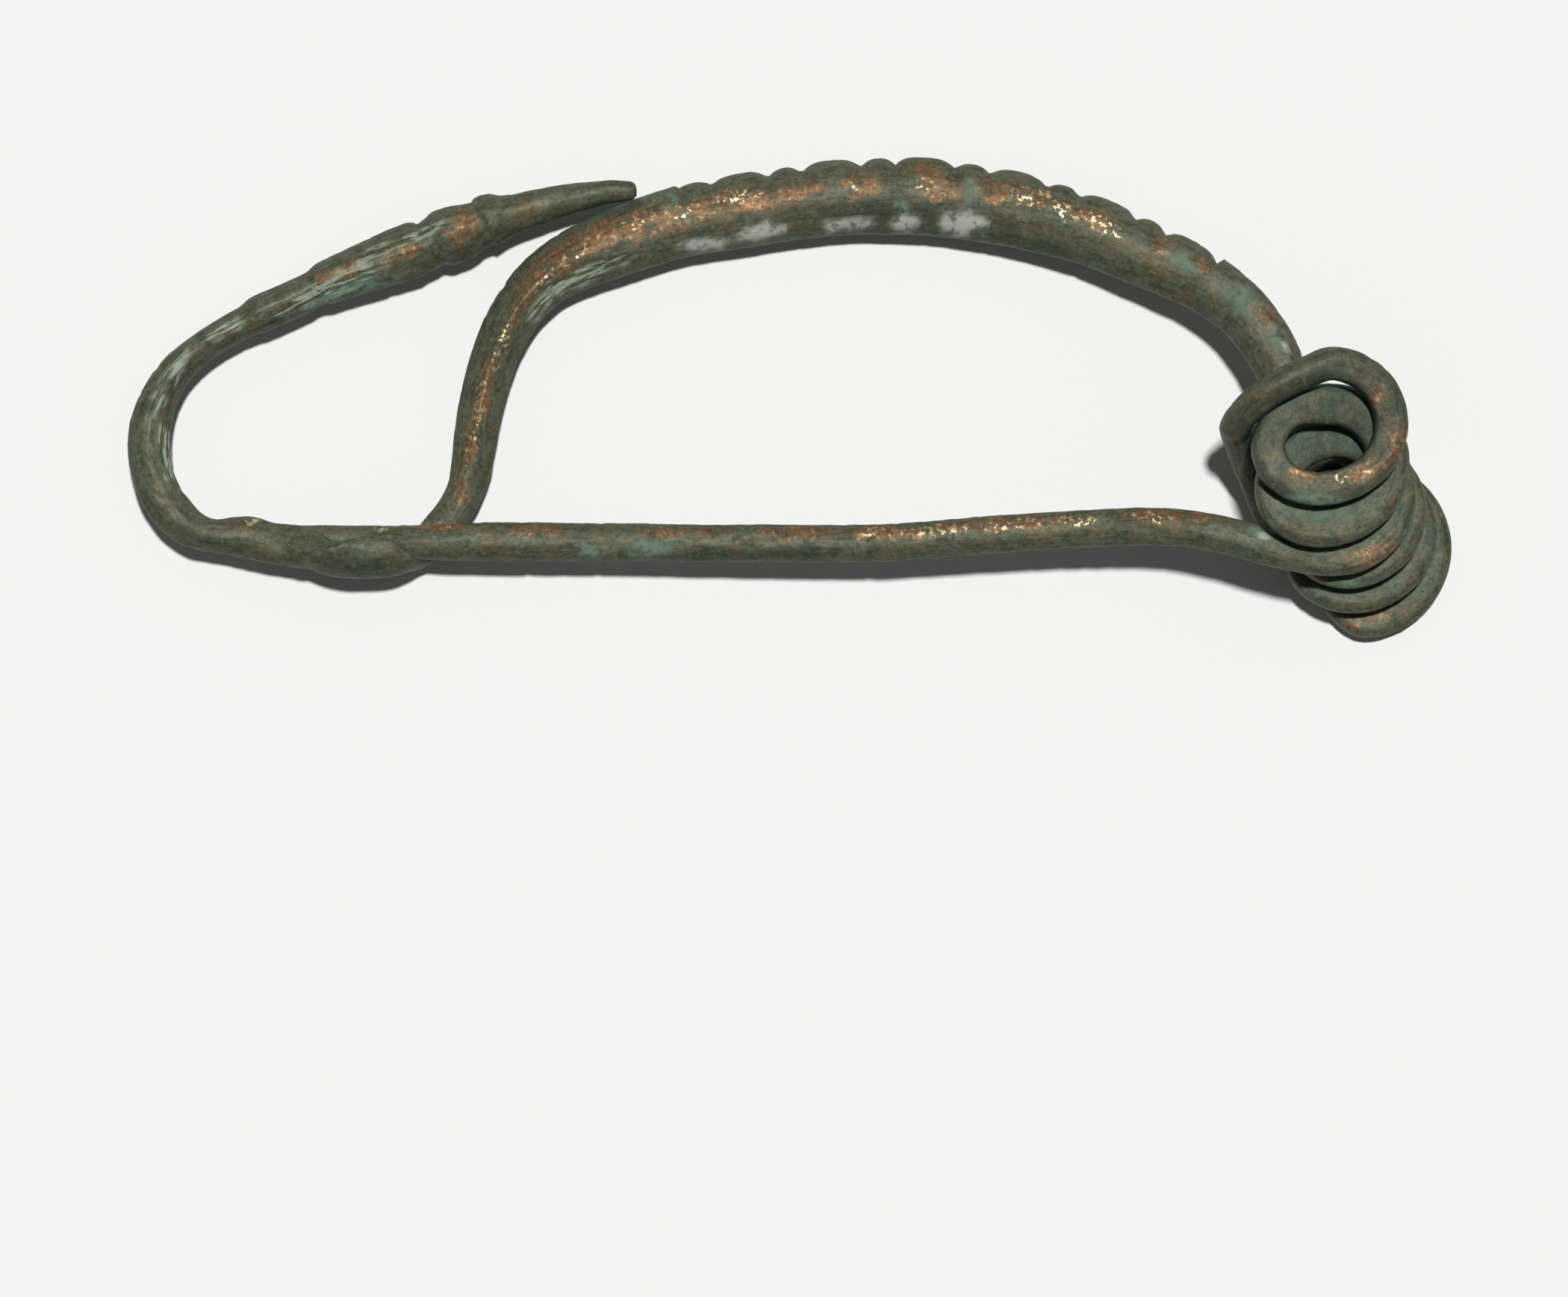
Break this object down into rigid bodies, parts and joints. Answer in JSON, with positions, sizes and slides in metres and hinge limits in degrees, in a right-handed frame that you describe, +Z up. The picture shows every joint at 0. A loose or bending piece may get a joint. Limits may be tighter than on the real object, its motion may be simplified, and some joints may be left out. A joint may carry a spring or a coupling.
{
  "type": "fibula brooch",
  "caption": "Ancient bronze safety-pin brooch with a ribbed arched bow, a coiled spring, a turned-back foot and a folded catch that holds the pin.",
  "frame": {"origin": "middle of the box that the brooch fills as it lies on its side, at ground level", "axes": "+X from the foot's loop to the spring, +Y from the pin to the crest of the bow, +Z up from the ground that it lies on"},
  "size_m": [0.0552, 0.02, 0.0083],
  "materials": {
    "bronze": "patinated copper alloy, mottled olive and dark green with copper patches"
  },
  "bodies": {
    "root": {"fibula": "bronze"}
  },
  "joints": []
}
